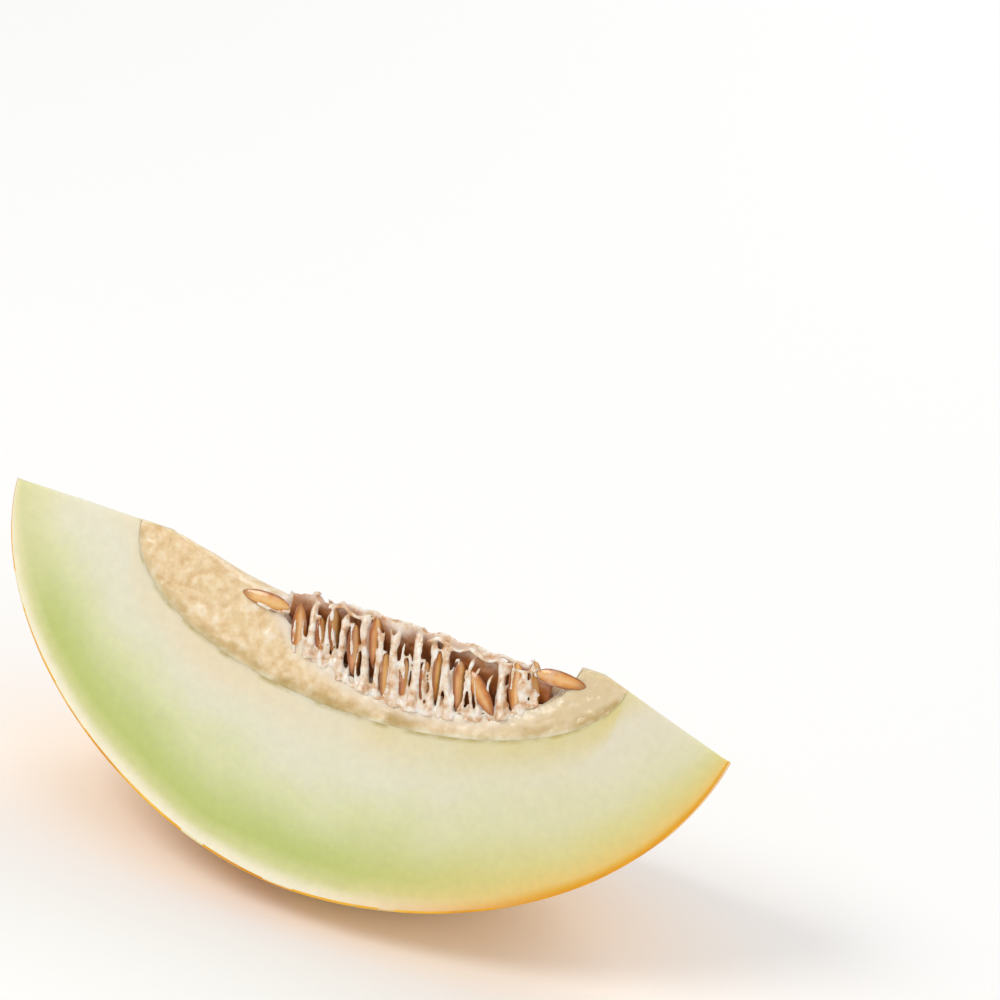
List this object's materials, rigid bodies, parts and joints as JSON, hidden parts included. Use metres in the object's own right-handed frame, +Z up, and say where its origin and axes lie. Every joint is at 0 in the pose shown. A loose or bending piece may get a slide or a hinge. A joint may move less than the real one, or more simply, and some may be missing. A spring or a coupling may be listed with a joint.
{
  "type": "melon wedge",
  "caption": "Lengthwise wedge of ripe yellow canary melon standing on its rind, with pale green flesh, soft seed pulp in a hollow under the ridge, and loose tan seeds.",
  "frame": {"origin": "on the surface that the wedge stands on, under the middle of its length and of its width", "axes": "+X along the melon's own axis and the wedge's ridge, towards the trimmed end; +Z up from the rind to the ridge; the front cut faces -Y and up, the back cut +Y and up"},
  "size_m": [0.1888, 0.0738, 0.0737],
  "materials": {
    "flesh": "wet, pale cream-green melon flesh that turns green towards a yellow waxy rind",
    "pulp": "wet, translucent, fibrous peach-cream seed pulp",
    "seed": "wet, smooth tan-orange seed coat"
  },
  "bodies": {
    "root": {"flesh_and_rind": "flesh", "seed_pulp": "pulp", "seed_01": "seed", "seed_02": "seed", "seed_03": "seed", "seed_04": "seed", "seed_05": "seed", "seed_06": "seed", "seed_07": "seed", "seed_08": "seed", "seed_09": "seed", "seed_10": "seed", "seed_11": "seed", "seed_12": "seed", "seed_13": "seed", "seed_14": "seed", "seed_15": "seed", "seed_16": "seed", "seed_17": "seed", "seed_18": "seed", "seed_19": "seed", "seed_20": "seed", "seed_21": "seed", "seed_22": "seed", "seed_23": "seed", "seed_24": "seed", "seed_25": "seed", "seed_26": "seed", "seed_27": "seed", "seed_28": "seed", "seed_29": "seed", "seed_30": "seed", "seed_31": "seed"}
  },
  "joints": []
}
